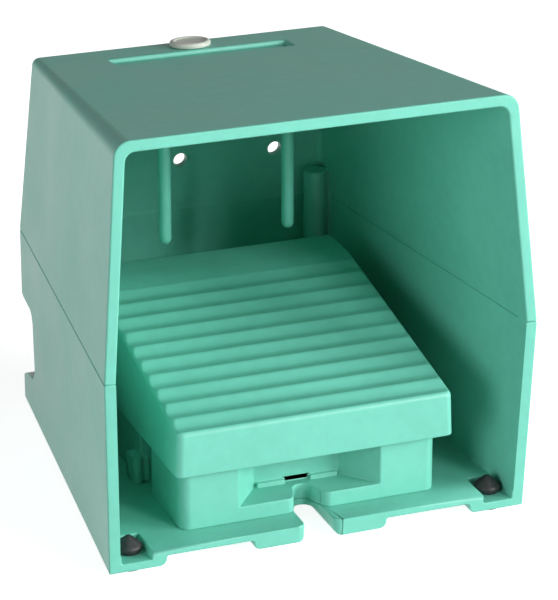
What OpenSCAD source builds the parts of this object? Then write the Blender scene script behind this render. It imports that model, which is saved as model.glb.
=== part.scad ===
// Foot switch with a protective hood: a moulded base and hood around a sealed
// switch case, whose ribbed pedal turns on a pin at its rear and drives a
// plunger with one opening and one closing contact.
// Millimetres. X to the right, Y to the rear, Z up; the origin is the middle of
// the surface it stands on.

/* [Enclosure] */
// Greatest width, across the seam at the open front
enclosure_w = 162; // [150:1:185]
// Depth, from the front of the seam to the end of the rear foot
enclosure_d = 166; // [160:1:190]
// Height of the roof's front edge
enclosure_h = 160.3; // [145:1:185]
// Height of the seam between base and hood
seam_z = 76; // [72:1:84]
// Wall thickness of base and hood
wall = 4.2; // [3.2:0.2:5]
// Radius of the long edges along the roof
edge_r = 6.5; // [5.5:0.5:8]
// Radius of the edges at the rear
rear_edge_r = 3; // [2:0.2:4]
// How much narrower each side gets per millimetre to the rear
side_taper = 0.108; // [0.07:0.002:0.12]
// Slope of the roof down to the rear
roof_slope = 0.097; // [0:0.001:0.12]

/* [Base] */
// How far the rubber feet hold the pads off the ground
foot_proud = 2.4; // [1.5:0.1:4]
// Height of the pads and skirts under the floor plate
pad_h = 3.8; // [2.5:0.1:6]
// Thickness of the floor plate
floor_t = 2.8; // [2.4:0.1:4]
// Width of the corner pads
corner_pad_w = 21.5; // [18:0.5:24]
// Width of the two pads beside the front slot
centre_pad_w = 20; // [14:0.5:22]
// Depth of the recess under the rear overhang
recess_d = 20; // [14:1:24]
// Height of the underside of the rear overhang
overhang_z = 47.5; // [44:0.5:52]
// Distance between the two fixing holes in the rear foot
fixing_pitch = 60; // [50:1:70]
// Diameter of the fixing holes
fixing_d = 6.6; // [5.5:0.1:7]

/* [Hood] */
// Length of the shallow slot in the roof
roof_slot_l = 70; // [50:1:75]
// Width of the roof slot
roof_slot_w = 11; // [8:0.5:12]
// Depth of the roof slot
roof_slot_t = 1.7; // [1:0.1:2]
// Diameter of the head of the roof plug
plug_head_d = 15.6; // [13:0.2:17]
// Diameter of the plug's hole
plug_hole_d = 10; // [8:0.2:11]
// Distance between the two hanging posts
post_pitch = 48.6; // [40:0.2:60]
// Diameter of a hanging post
post_d = 4.6; // [4:0.2:6]
// Height of the posts' lower ends
post_z = 84.5; // [82:0.5:100]
// Pitch of the three holes in the rear wall
rear_hole_pitch = 39; // [30:0.5:42]
// Diameter of the rear holes
rear_hole_d = 5.4; // [4:0.1:6]
// Height of the rear holes
rear_hole_z = 97.5; // [95:0.5:110]

/* [Pedal] */
// Width of the pedal at its lower edge
pedal_w = 105.6; // [104:0.2:110]
// Wall thickness of the pedal
pedal_wall = 2.8; // [2.4:0.1:3.2]
// Number of flutes in the tread
flutes = 10; // [6:1:12]
// Distance between the crests of the tread, along the ground
flute_pitch = 8.95; // [8:0.05:9.2]
// Depth of a flute
flute_t = 1.2; // [0.8:0.1:1.5]
// Slope of the tread
tread_slope = 0.2166; // [0.18:0.002:0.24]
// Height of the pedal's front face
pedal_front_h = 17.2; // [15:0.2:20]
// Angle through which the pedal is pressed, degrees
pedal_travel = 6; // [4:0.5:6]
// Diameter of the hinge pin
pin_d = 5; // [4:0.5:6]

/* [Switch case] */
// Width of the switch case
case_w = 98; // [90:0.5:98.5]
// Height of the switch case
case_h = 23; // [21:0.5:23]
// Wall thickness of the switch case
case_wall = 3; // [2.4:0.1:3.4]
// Height of the pocket's floor above the base floor
pocket_h = 5.9; // [5:0.1:8]
// Width of the front slot
front_slot_w = 7.4; // [6.4:0.1:9]
// Diameter of the cable gland's thread
gland_d = 16; // [14:0.5:17]
// Bore of the gland's seal
cable_d = 8; // [5:0.5:9]

/* [Hidden] */
$fn = 64;
tiny = 0.01;
// Radial clearance of a turning or sliding fit
run_gap = 0.06;
// Gap between pieces that move past each other
free_gap = 0.3;
moulding = [0.36, 0.76, 0.66];
dark_steel = [0.3, 0.3, 0.32];
bright_steel = [0.78, 0.79, 0.8];

// Heights from the ground up
pad_z = foot_proud;
floor_under_z = pad_z + pad_h;
floor_z = floor_under_z + floor_t;
case_top_z = floor_z + case_h;

// Lines of the enclosure seen from the side
front_y = -enclosure_d / 2;
rear_y = enclosure_d / 2;
base_lean = 0.054;
hood_lean = 0.071;
rear_lean = 0.1;
hood_rear_lean = 0.13;
seam_rear_y = rear_y - rear_lean * (seam_z - pad_z);
recess_y = seam_rear_y - recess_d;
roof_front_y = front_y + hood_lean * (enclosure_h - seam_z);
base_front_y = front_y + base_lean * (seam_z - pad_z);

// Drafts of the side walls and the stretch of a tilted plane's offset
base_draft = 0.016;
hood_draft = 0.078;
plan_side_k = sqrt(1 + pow(side_taper, 2));
base_side_k = sqrt(1 + pow(side_taper, 2) + pow(base_draft, 2));
hood_side_k = sqrt(1 + pow(side_taper, 2) + pow(hood_draft, 2));
roof_k = sqrt(1 + pow(roof_slope, 2));
rear_k = sqrt(1 + pow(rear_lean, 2));
hood_rear_k = sqrt(1 + pow(hood_rear_lean, 2));
inner_r = 4;
rear_inner_r = 2.3;

function base_x(y, z) = enclosure_w / 2 - side_taper * (y - front_y) - base_draft * (seam_z - z);
function hood_x(y, z) = enclosure_w / 2 - side_taper * (y - front_y) - hood_draft * (z - seam_z);
function roof_z(y) = enclosure_h - roof_slope * (y - roof_front_y);
function rear_wall_y(z) = seam_rear_y + rear_lean * (seam_z - z);

// Where the pedal, its hinge and its tread lie
pedal_front_y = front_y + 7.7;
pedal_z = case_top_z + 1;
tread_front_z = pedal_z + pedal_front_h;
pedal_rear_y = pedal_front_y + 114;
pedal_draft = 0.045;
pedal_edge_r = 2.6;
tread_k = sqrt(1 + pow(tread_slope, 2));
tread_end_y = pedal_front_y + flutes * flute_pitch;
knee_y = tread_end_y + 8;
pedal_top_z = tread_front_z + tread_slope * (knee_y - pedal_front_y);
ear_r = pin_d / 2 + 1.5;
hinge_y = pedal_rear_y - pedal_wall - flute_t * 0.4 - ear_r - 0.72;
hinge_z = pedal_z + 11;
function pedal_x(z) = pedal_w / 2 - pedal_draft * (z - pedal_z);
function tread_z(y) = tread_front_z + tread_slope * (y - pedal_front_y);

// Where the case and its pieces lie
case_front_y = pedal_front_y + 7;
gland_reach = 8.7;
case_rear_y = recess_y - wall - gland_reach;
case_r = 4;
ear_x = case_w / 2 - 6;
ear_t = 6;
pocket_z = floor_z + pocket_h;
pocket_top_z = case_top_z - 2;
pocket_front_x = 27.3;
pocket_rear_x = 16.5;
pocket_back_y = case_front_y + 14;
slot_end_y = case_front_y + 6.9;
slot_mouth_w = front_slot_w + 3.6;
lug_y = case_front_y + 44.5;
lug_gap = 12;
lug_in = 6;
lug_w = 9;
lug_h = 10;
lid_rear_y = hinge_y - 12;
lid_w = case_w - 3;
lid_front_y = case_front_y + 1.5;
gasket_t = 1;
lid_z = case_top_z + gasket_t;
lid_t = 2.4;
lid_top_z = lid_z + lid_t;
gland_hex = gland_d + 4;
gland_z = floor_z + gland_hex / 2 + 1.5;
guide_y = hinge_y - 40;
guide_top_z = lid_top_z + 7;
plunger_top_z = guide_top_z + 7.5;
plunger_d = 6;
spring_y = hinge_y - 70;
bumper_y = hinge_y - 84;
bumper_x = 34;
bumper_d = 9;
bumper_h = 6.4;

// Screw sizes: [shank, head diameter, head height]
m3 = [3, 5.6, 2.2];
m4 = [4, 7.4, 2.8];
hole_gap = 0.2;
case_screw_at = [for (s = [-1, 1]) each [[s * (case_w / 2 - 9), case_front_y + 8],
                                         [s * (case_w / 2 - 9), case_rear_y - 7]]];
lid_screw_at = [for (s = [-1, 1]) each [[s * (case_w / 2 - 5.8), pocket_back_y + 6],
                                        [s * (case_w / 2 - 5.8), lid_rear_y - 5]]];
boss_d = 8.5;

// Rubber feet: two in the corners of the floor, two in the rear foot
foot_head_d = 10;
foot_stem_d = 5;
foot_base_d = 11.5;
foot_inset = wall + foot_head_d / 2;
rear_foot_y = rear_y - 12;
front_foot_y = base_front_y + 9.5;
function foot_x(y) = base_x(y, pad_z) - foot_inset;
feet_at = [for (y = [front_foot_y, rear_foot_y]) each [for (s = [-1, 1]) [s * foot_x(y), y]]];
pocket_floor_z = pad_z + 3.3;
front_pad_d = 24;
pad_r = min(2.8, pad_h - 0.8);

// Hood screws come up through the overhang into the hood's pillars
overhang_t = wall;
pillar_d = 9;
pillar_y = seam_rear_y - wall - pillar_d / 2 - 1.6;
pillar_x = base_x(pillar_y, seam_z) - wall - pillar_d / 2 - 1.6;

// Round pillar for a screw, webbed to the side and the rear wall
module pillar(s, h) {
    cylinder(d = pillar_d, h = h);
    translate([min(0, s * 12), -1.2, 0]) cube([12, 2.4, h]);
    translate([-1.2, 0, 0]) cube([2.4, 12, h]);
}

// ---------------------------------------------------------------- shapes

// A side outline, given as [y, z] points, as a prism across the whole width
module across(points, w = 2 * enclosure_w) {
    rotate([90, 0, 90]) linear_extrude(height = w, center = true) polygon(points);
}

// The drafted body of the base, past two heights, rounded at its rear edges
module base_form(inset, r, low_z, high_z) {
    off = inset + r;
    hull() for (z = [low_z - r - 2, high_z + r + 2], s = [-1, 1])
        for (y = [front_y - 12, rear_wall_y(z) - off * rear_k])
            translate([s * (base_x(y, z) - off * base_side_k), y, z]) sphere(r = r, $fn = 32);
}

// The drafted body of the hood, rounded along the roof and at the rear
module hood_form(inset, r, rear_r) {
    off = inset + r;
    rear_off = inset + rear_r;
    a = seam_rear_y - rear_off * hood_rear_k;
    b = enclosure_h + roof_slope * roof_front_y;
    low_z = seam_z - 14;
    out_y = front_y - 14;
    top_y = (a - hood_rear_lean * (b - rear_off * roof_k - seam_z)) / (1 - hood_rear_lean * roof_slope);
    hull() for (s = [-1, 1]) {
        for (p = [[out_y, low_z], [out_y, b - off * roof_k - roof_slope * out_y]])
            translate([s * (hood_x(p[0], p[1]) - off * hood_side_k), p[0], p[1]]) sphere(r = r, $fn = 32);
        for (p = [[a - hood_rear_lean * (low_z - seam_z), low_z],
                  [top_y, b - rear_off * roof_k - roof_slope * top_y]])
            translate([s * (hood_x(p[0], p[1]) - rear_off * hood_side_k), p[0], p[1]])
                sphere(r = rear_r, $fn = 32);
    }
}

// Plan of the front slot: a round end, a widening throat and a rounded mouth
module slot_plan(end_y, mouth_y, mouth_r) {
    half = slot_mouth_w / 2;
    translate([0, end_y]) circle(d = front_slot_w);
    polygon([[-front_slot_w / 2, end_y], [front_slot_w / 2, end_y],
             [half, end_y - 5], [half, mouth_y - 1], [-half, mouth_y - 1], [-half, end_y - 5]]);
    difference() {
        translate([-half - mouth_r, mouth_y - 1]) square([2 * (half + mouth_r), mouth_r + 1]);
        for (s = [-1, 1]) translate([s * (half + mouth_r), mouth_y + mouth_r]) circle(mouth_r);
    }
}

// Pan-head screw pointing up, its head's underside at z = 0
module screw_up(size, length) {
    cylinder(d = size[0], h = length);
    difference() {
        translate([0, 0, -size[2]]) {
            translate([0, 0, size[2] / 2]) cylinder(d = size[1], h = size[2] / 2);
            cylinder(d1 = size[1] * 0.7, d2 = size[1], h = size[2] / 2 + tiny);
        }
        for (a = [0, 90]) rotate(a) translate([-size[1] * 0.28, -0.4, -size[2] - 1])
            cube([size[1] * 0.56, 0.8, 1 + size[2] * 0.6]);
    }
}

module screw_down(size, length) {
    mirror([0, 0, 1]) screw_up(size, length);
}

// Round wire wound into a compression spring, swept as one closed surface
module coil(d, wire, height, turns, steps = 20, sides = 8) {
    n = floor(turns * steps);
    rise = (height - wire) / n;
    ring = [for (i = [0 : n]) for (k = [0 : sides - 1])
        let (a = 360 * i / steps, b = 360 * k / sides, r = (d - wire) / 2 + wire / 2 * cos(b))
            [r * cos(a), r * sin(a), wire / 2 + i * rise + wire / 2 * sin(b)]];
    faces = concat(
        [[for (k = [0 : sides - 1]) k]],
        [[for (k = [0 : sides - 1]) n * sides + sides - 1 - k]],
        [for (i = [0 : n - 1]) for (k = [0 : sides - 1])
            let (j = (k + 1) % sides)
                [i * sides + k, (i + 1) * sides + k, (i + 1) * sides + j, i * sides + j]]);
    polyhedron(points = ring, faces = faces);
}

// ---------------------------------------------------------------- enclosure

// Side outline of the base without its rear foot
base_outline = [[base_front_y, pad_z], [front_y, seam_z], [rear_y, seam_z],
                [rear_y, overhang_z + 3], [rear_wall_y(overhang_z), overhang_z + 1.5],
                [seam_rear_y - 2, overhang_z],
                [recess_y + 4, overhang_z], [recess_y + 1.2, overhang_z - 1.2],
                [recess_y, overhang_z - 4], [recess_y, pad_z]];

// Side outline of the rear foot's cheeks, which fall towards its end
cheek_outline = [[recess_y - 8, pad_z], [recess_y - 8, 26], [recess_y, 24], [recess_y + 5, 18.5],
                 [recess_y + 16, 16.5], [rear_y - 3, 13], [rear_y - 1, 11],
                 [rear_y, 8], [rear_y, pad_z]];

// Outline of a pad seen from the front, its lower corners rounded
module pad_outline(x, w) {
    translate([x, pad_z + pad_r]) square([w, pad_h]);
    translate([x + pad_r, pad_z - 1]) square([w - 2 * pad_r, pad_h]);
    for (c = [x + pad_r, x + w - pad_r]) translate([c, pad_z + pad_r]) circle(pad_r);
}

// Space between the front pads, drawn from the front and run back along them
module front_relief() {
    side = base_x(base_front_y, pad_z);
    translate([0, base_front_y + front_pad_d, 0]) rotate([90, 0, 0])
        linear_extrude(height = front_pad_d + 5) difference() {
            translate([wall - side, pad_z - 1]) square([2 * (side - wall), pad_h + 1]);
            for (s = [-1, 1]) {
                pad_outline(s * (slot_mouth_w / 2 + centre_pad_w / 2) - centre_pad_w / 2, centre_pad_w);
                pad_outline(s * (side - corner_pad_w / 2 + 5) - corner_pad_w / 2 - 5, corner_pad_w + 10);
            }
        }
}

// Plan of the space under the floor plate behind the front pads
module under_floor_plan() {
    difference() {
        polygon([for (p = [[-1, base_front_y + front_pad_d - 0.1], [1, base_front_y + front_pad_d - 0.1],
                           [1, rear_y - wall], [-1, rear_y - wall]])
            [p[0] * (base_x(p[1], pad_z) - wall), p[1]]]);
        for (s = [-1, 1])
            translate([s * (base_x(rear_y - 15, pad_z) - corner_pad_w / 2), rear_y - 15])
                square([corner_pad_w, 30], center = true);
        for (p = case_screw_at) translate(p) circle(d = 12);
    }
}

module base_shell() color(moulding) {
    difference() {
        union() {
            intersection() {
                base_form(0, rear_edge_r, pad_z, seam_z);
                union() {
                    across(base_outline);
                    across(cheek_outline);
                }
            }
            // Tongue along the seam that centres the hood
            translate([0, 0, seam_z - 1]) linear_extrude(height = 1 + tongue_h) difference() {
                seam_plan(wall / 2 + 2 * seam_gap, 6 + seam_gap);
                seam_plan(wall - 0.3, 5);
            }
        }
        // Space for the switch and tray of the rear foot, with the walls round the recess left
        difference() {
            base_form(wall, rear_inner_r, floor_z, seam_z);
            translate([-enclosure_w, -enclosure_d, 0]) cube([2 * enclosure_w, 2 * enclosure_d, floor_z]);
            translate([-enclosure_w, recess_y - wall, overhang_z - 6])
                cube([2 * enclosure_w, enclosure_d, 6 + overhang_t]);
            translate([-enclosure_w, recess_y - wall, 0]) cube([2 * enclosure_w, wall, overhang_z]);
            // Pillars for the screws of the hood
            for (s = [-1, 1]) translate([s * pillar_x, pillar_y, overhang_z]) pillar(s, seam_z);
        }
        front_relief();
        translate([0, 0, -1]) linear_extrude(height = floor_under_z + 1) under_floor_plan();
        translate([0, 0, -1]) linear_extrude(height = floor_z + 2)
            slot_plan(slot_end_y, base_front_y, 3);
        // Corner pockets and holes for the feet
        for (p = feet_at) translate([p[0], p[1], 0]) {
            translate([0, 0, pad_z - 1]) cylinder(d = foot_stem_d, h = 20);
            if (p[1] > 0) translate([0, 0, pocket_floor_z]) cylinder(d = foot_head_d + 2.5, h = 20);
        }
        for (s = [-1, 1]) intersection() {
            base_form(wall, rear_inner_r, pocket_floor_z, floor_z);
            translate([s * foot_x(front_foot_y) - 5.6, base_front_y - 3, pocket_floor_z])
                cube([11.2, 18.5, floor_z - pocket_floor_z + 1]);
        }
        // Screws of the case, cable opening, screws of the hood, fixing holes
        for (p = case_screw_at) translate([p[0], p[1], 0]) {
            cylinder(d = m4[0] + 2 * hole_gap, h = floor_z + 1);
            cylinder(d = m4[1] + 0.6, h = floor_under_z);
        }
        translate([0, recess_y + 1, gland_z]) rotate([90, 0, 0]) cylinder(d = gland_d + 12, h = wall + 2);
        for (s = [-1, 1]) translate([s * pillar_x, pillar_y, overhang_z - 1])
            cylinder(d = m4[0] + 2 * hole_gap, h = 2 * seam_z);
        for (s = [-1, 1]) translate([s * fixing_pitch / 2, rear_y - 15, 0])
            cylinder(d = fixing_d, h = floor_z + 1);
        // Way out for the cable over the rear lip
        translate([-9, rear_y - 5, floor_z]) cube([18, 10, 10]);
    }
}

// Plan of the enclosure just above the seam, drawn in by an inset and cut off near the front
module seam_plan(inset, start) {
    polygon([for (p = [[-1, front_y + start], [1, front_y + start],
                       [1, seam_rear_y - inset], [-1, seam_rear_y - inset]])
        [p[0] * (base_x(p[1], seam_z) - inset * plan_side_k), p[1]]]);
}

// Side outline of the hood in front of its rear wall
hood_outline = [[front_y, seam_z], [roof_front_y, enclosure_h], [roof_front_y, enclosure_h + 20],
                [rear_y, enclosure_h + 20], [rear_y, seam_z]];
roof_angle = atan(roof_slope);
roof_slot_y = seam_rear_y - 33.4;
plug_y = roof_slot_y + roof_slot_w / 2 + plug_head_d / 2 + 0.4;

// Places its children on the roof at a depth y, tilted with it
module on_roof(x, y) {
    translate([x, y, roof_z(y)]) rotate([-roof_angle, 0, 0]) children();
}

module hood_shell() color(moulding) {
    difference() {
        union() {
            difference() {
                intersection() {
                    hood_form(0, edge_r, rear_edge_r);
                    across(hood_outline);
                }
                hood_form(wall, inner_r, rear_inner_r);
                // Rebate that takes the tongue of the base
                translate([0, 0, seam_z - 1]) linear_extrude(height = 1 + tongue_h + seam_gap)
                    seam_plan(wall / 2, 6);
            }
            // Two posts that keep a toe off the rear wall
            for (s = [-1, 1]) {
                y = post_y;
                translate([s * post_pitch / 2, y, post_z]) rotate_extrude() {
                    translate([0, post_d / 2])
                        square([post_d / 2, roof_z(y) - wall / 2 - post_z - post_d / 2]);
                    intersection() {
                        translate([0, post_d / 2]) circle(d = post_d);
                        translate([0, 0.06]) square([post_d, post_d / 2 + 1]);
                    }
                }
            }
            // Bosses for the screws that come up through the base, clear of the tongue
            difference() {
                intersection() {
                    hood_form(wall / 2, inner_r, rear_inner_r);
                    for (s = [-1, 1]) translate([s * pillar_x, pillar_y, seam_z]) pillar(s, hood_boss_h);
                }
                translate([0, 0, seam_z - 1]) linear_extrude(height = 1 + tongue_h + seam_gap) difference() {
                    seam_plan(wall / 2, 6);
                    seam_plan(wall - 0.2, 5);
                }
            }
        }
        on_roof(0, roof_slot_y) cube([roof_slot_l, roof_slot_w, 2 * roof_slot_t], center = true);
        on_roof(0, plug_y) translate([0, 0, -wall - 3]) cylinder(d = plug_hole_d, h = wall + 6);
        for (i = [-1 : 1]) translate([i * rear_hole_pitch, rear_y, rear_hole_z])
            rotate([90, 0, 0]) cylinder(d = rear_hole_d, h = 30);
        for (s = [-1, 1]) translate([s * pillar_x, pillar_y, 0])
            cylinder(d = m4[0], h = seam_z + hood_boss_h - 1.5);
    }
}

post_y = seam_rear_y - 58.6;
hood_boss_h = 12;
tongue_h = 2;
seam_gap = 0.1;

module hood_screws() color(dark_steel) {
    for (s = [-1, 1]) translate([s * pillar_x, pillar_y, overhang_z]) screw_up(m4, seam_z - overhang_z + 9);
}

// Push-in plug with a raised rim and two snap beads
module roof_plug() color([0.8, 0.85, 0.75]) {
    on_roof(0, plug_y) rotate_extrude() polygon([[0, -3.4], [plug_hole_d / 2 - 1.2, -3.4],
        [plug_hole_d / 2 - 1.2, -wall - 2], [plug_hole_d / 2 - 0.6, -wall - 2],
        [plug_hole_d / 2 - 0.1, -wall - 1],
        [plug_hole_d / 2 - 0.1, 0], [plug_head_d / 2, 0], [plug_head_d / 2, 1.4], [plug_head_d / 2 - 0.6, 2],
        [plug_head_d / 2 - 1.6, 2], [plug_head_d / 2 - 2.2, 1.4], [0, 1.4]]);
}

// Turned outline of a push-in foot: ground disc, stem and cone head
module rubber_feet() color([0.07, 0.07, 0.07]) {
    for (p = feet_at) translate([p[0], p[1], 0]) rotate_extrude()
        polygon([[0, 0], [foot_base_d / 2 - 0.8, 0], [foot_base_d / 2, 0.8], [foot_base_d / 2, pad_z],
                 [foot_stem_d / 2, pad_z], [foot_stem_d / 2, pocket_floor_z],
                 [foot_head_d / 2 - 0.8, pocket_floor_z], [foot_head_d / 2 - 0.2, pocket_floor_z + 0.8],
                 [foot_head_d / 2, pocket_floor_z + 2.2], [foot_head_d / 2 - 0.5, pocket_floor_z + 2.9],
                 [1, pocket_floor_z + 6.1], [0, pocket_floor_z + 6.5]]);
}

// ---------------------------------------------------------------- switch case

// Rounded plan of the case, drawn in or out by an offset
module case_plan(inset) {
    translate([-case_w / 2 + inset, case_front_y + inset]) {
        w = case_w - 2 * inset;
        d = case_rear_y - case_front_y - 2 * inset;
        r = max(case_r - inset, 0.8);
        translate([r, 0]) square([w - 2 * r, d]);
        translate([0, r]) square([w, d - 2 * r]);
        for (x = [r, w - r], y = [r, d - r]) translate([x, y]) circle(r);
    }
}

// Plan of the recess in each side of the case behind its front block
module side_recess(grow) {
    for (s = [-1, 1]) translate([s * (case_w / 2 - lug_in + 10 - grow), lug_y - lug_gap / 2])
        square([20, lug_gap + 2 * grow], center = true);
}

// Plan of the pocket in the case front, grown by a wall
module pocket_plan(grow) {
    polygon([[-pocket_front_x - grow, case_front_y - 1], [pocket_front_x + grow, case_front_y - 1],
             [pocket_front_x + grow, case_front_y], [pocket_rear_x + grow, pocket_back_y + grow],
             [-pocket_rear_x - grow, pocket_back_y + grow], [-pocket_front_x - grow, case_front_y]]);
}

module switch_case() color(moulding) {
    difference() {
        union() {
            translate([0, 0, floor_z]) linear_extrude(height = case_h) difference() {
                case_plan(0);
                side_recess(0);
            }
            // Lug behind each recess, with ribs on its front
            for (s = [-1, 1]) {
                translate([s * (case_w / 2 - lug_in + lug_w / 2), lug_y + 4, floor_z + lug_h / 2])
                    cube([lug_w, 8, lug_h], center = true);
                for (x = [1.2, 3.4, 7.2]) translate([s * (case_w / 2 - lug_in + x), lug_y, floor_z])
                    cylinder(d = x > 5 ? 3.4 : 1.8, h = lug_h);
            }
            // Ears for the hinge pin
            for (s = [-1, 1]) translate([s * ear_x, 0, 0]) rotate([90, 0, 90])
                linear_extrude(height = ear_t, center = true) {
                    translate([hinge_y, hinge_z]) circle(ear_r);
                    translate([hinge_y - ear_r, case_top_z - 1])
                        square([2 * ear_r, hinge_z - case_top_z + 1]);
                    polygon([[hinge_y - ear_r - 5, case_top_z - 1], [hinge_y, hinge_z - 3],
                             [hinge_y, case_top_z - 1]]);
                }
        }
        difference() {
            union() {
                translate([0, 0, floor_z + case_wall]) linear_extrude(height = case_h - 2 * case_wall)
                    case_plan(case_wall);
                intersection() {
                    translate([0, 0, floor_z + case_wall]) linear_extrude(height = case_h)
                        case_plan(case_wall + 1.2);
                    translate([-case_w / 2, case_front_y, 0])
                        cube([case_w, lid_rear_y - case_wall - case_front_y, case_top_z + 1]);
                }
            }
            linear_extrude(height = case_top_z + 1) {
                pocket_plan(case_wall);
                side_recess(case_wall);
            }
            for (p = case_screw_at) translate([p[0], p[1], floor_z]) cylinder(d = boss_d + 1, h = 13);
            for (p = lid_screw_at) translate([p[0], p[1], floor_z]) cylinder(d = boss_d - 1.5, h = case_h);
        }
        // Pocket, its slot, and the two ledges left on its floor
        difference() {
            translate([0, 0, pocket_z]) linear_extrude(height = pocket_top_z - pocket_z) pocket_plan(0);
            for (s = [-1, 1]) translate([s * 10.3 - 5.4, pocket_back_y - 1.6, pocket_z - 1])
                cube([10.8, 3, 2.6]);
        }
        translate([0, 0, floor_z - 1]) linear_extrude(height = pocket_h + 2)
            slot_plan(slot_end_y, case_front_y, 3);
        for (p = case_screw_at) translate([p[0], p[1], floor_z - 1]) cylinder(d = m4[0], h = 11);
        for (p = lid_screw_at) translate([p[0], p[1], case_top_z - 9]) cylinder(d = m3[0], h = 10);
        for (s = [-1, 1]) translate([0, guide_y + s * 20, floor_z + case_wall - 2.4]) cylinder(d = m3[0], h = 3);
        translate([0, case_rear_y + 1, gland_z]) rotate([90, 0, 0]) cylinder(d = gland_d, h = case_wall + 2);
        translate([-case_w, hinge_y, hinge_z]) rotate([0, 90, 0]) cylinder(d = pin_d, h = 2 * case_w);
    }
}

module case_screws() color(bright_steel) {
    for (p = case_screw_at) translate([p[0], p[1], floor_under_z]) screw_up(m4, 11);
}

// Plan of the lid and its gasket
module lid_plan(inset) {
    translate([-lid_w / 2 + inset, lid_front_y + inset])
        square([lid_w - 2 * inset, lid_rear_y - lid_front_y - 2 * inset]);
}

module lid_gasket() color([0.1, 0.1, 0.1]) {
    translate([0, 0, case_top_z]) linear_extrude(height = gasket_t) difference() {
        lid_plan(0.6);
        difference() {
            lid_plan(3.4);
            pocket_plan(case_wall - 0.8);
            side_recess(case_wall - 0.8);
            for (p = lid_screw_at) translate(p) circle(d = m3[0] + 4);
        }
        for (p = lid_screw_at) translate(p) circle(d = m3[0] + 2 * hole_gap);
    }
}

module case_lid() color(moulding) {
    difference() {
        union() {
            translate([0, 0, lid_z]) linear_extrude(height = lid_t) lid_plan(0);
            translate([0, guide_y, lid_z]) cylinder(d = 13, h = guide_top_z - lid_z);
            translate([0, spring_y, lid_top_z - 1]) cylinder(d = 9.4, h = 3.5);
            for (s = [-1, 1]) translate([s * 22, (bumper_y + lid_rear_y) / 2, lid_top_z])
                cube([2, 50, 2.4], center = true);
        }
        translate([0, guide_y, 0]) cylinder(d = plunger_d + 2 * run_gap, h = 100);
        for (p = lid_screw_at) translate([p[0], p[1], 0]) cylinder(d = m3[0] + 2 * hole_gap, h = 100);
        for (s = [-1, 1]) translate([s * bumper_x, bumper_y, 0]) cylinder(d = 4, h = 100);
        // Groove under the boot's bead
        translate([0, guide_y, guide_top_z - 3]) rotate_extrude() translate([5.8, 0]) square([3, 1.4]);
    }
}

module lid_screws() color(bright_steel) {
    for (p = lid_screw_at) translate([p[0], p[1], lid_top_z]) screw_down(m3, 9);
}

module stop_bumpers() color([0.07, 0.07, 0.07]) {
    for (s = [-1, 1]) translate([s * bumper_x, bumper_y, lid_top_z]) rotate_extrude()
        polygon([[0, -lid_t], [2, -lid_t], [2, 0], [bumper_d / 2, 0], [bumper_d / 2, bumper_h - 1.5],
                 [bumper_d / 2 - 1.5, bumper_h], [0, bumper_h]]);
}

// ---------------------------------------------------------------- cable gland

// Turns its children so that their Z axis leaves the rear of the case
module on_gland() {
    translate([0, case_rear_y, gland_z]) rotate([-90, 0, 0]) children();
}

gland_bore = gland_d - 5;

module gland_body() color([0.12, 0.12, 0.13]) {
    on_gland() difference() {
        union() {
            translate([0, 0, -case_wall - 3]) cylinder(d = gland_d, h = case_wall + 3);
            cylinder(d = gland_hex / cos(30), h = 4, $fn = 6);
            translate([0, 0, 4]) cylinder(d = gland_d, h = 9);
        }
        translate([0, 0, -case_wall - 4]) cylinder(d = gland_bore, h = case_wall + 30);
    }
}

module gland_seal() color([0.2, 0.2, 0.2]) {
    on_gland() translate([0, 0, 4]) difference() {
        union() {
            cylinder(d = gland_bore - 2 * run_gap, h = 9);
            translate([0, 0, 9]) cylinder(d = gland_bore + 1.5, h = 1);
        }
        translate([0, 0, -1]) cylinder(d = cable_d, h = 20);
    }
}

module gland_nut() color([0.12, 0.12, 0.13]) {
    on_gland() translate([0, 0, 4.6]) difference() {
        union() {
            cylinder(d = gland_hex / cos(30), h = 7, $fn = 6);
            translate([0, 0, 7]) rotate_extrude() difference() {
                square([gland_hex / 2 - 0.2, 5]);
                translate([gland_hex / 2 - 0.2, 5]) circle(2.4);
            }
        }
        translate([0, 0, -1]) cylinder(d = gland_d + 0.3, h = 10.6);
        translate([0, 0, -1]) cylinder(d = cable_d + 2, h = 20);
    }
}

// ---------------------------------------------------------------- contacts

housing_w = 34;
housing_d = 46;
housing_z = floor_z + case_wall;
plate_z = housing_z + 1.6;
closing_z = housing_z + 3;
strip_t = 0.8;
strip_w = 6;
strip_x = 8;
bar_t = 3.5;
stroke = (hinge_y - guide_y) * pedal_travel * PI / 180;
bar_z = closing_z + 2 * strip_t + stroke + free_gap;
opening_z = bar_z + bar_t + strip_t + 0.15;

module contact_housing() color([0.16, 0.16, 0.17]) {
    translate([0, guide_y, 0]) difference() {
        union() {
            translate([-housing_w / 2, -housing_d / 2, housing_z]) cube([housing_w, housing_d, 1.6]);
            // End blocks: low for the closing strips, high for the opening ones
            for (s = [-1, 1]) {
                translate([-housing_w / 2, s * 18 - 5, housing_z]) cube([housing_w, 10, closing_z - housing_z]);
                translate([-housing_w / 2, s * 18 - 5, housing_z]) cube([13, 10, opening_z - housing_z]);
            }
            for (s = [-1, 1]) translate([s * (housing_w / 2 - 1), 0, (housing_z + opening_z) / 2])
                cube([2, housing_d, opening_z - housing_z], center = true);
        }
        for (s = [-1, 1]) {
            translate([0, s * 20, housing_z - 1]) cylinder(d = m3[0] + 2 * hole_gap, h = 20);
            translate([strip_x, s * 18, housing_z + 0.6]) cylinder(d = m3[0], h = 20);
            translate([-strip_x, s * 18, opening_z - 6]) cylinder(d = m3[0], h = 10);
        }
    }
}

module housing_screws() color(bright_steel) {
    for (s = [-1, 1]) translate([0, guide_y + s * 20, closing_z]) screw_down(m3, closing_z - floor_z - case_wall + 2);
}

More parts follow.
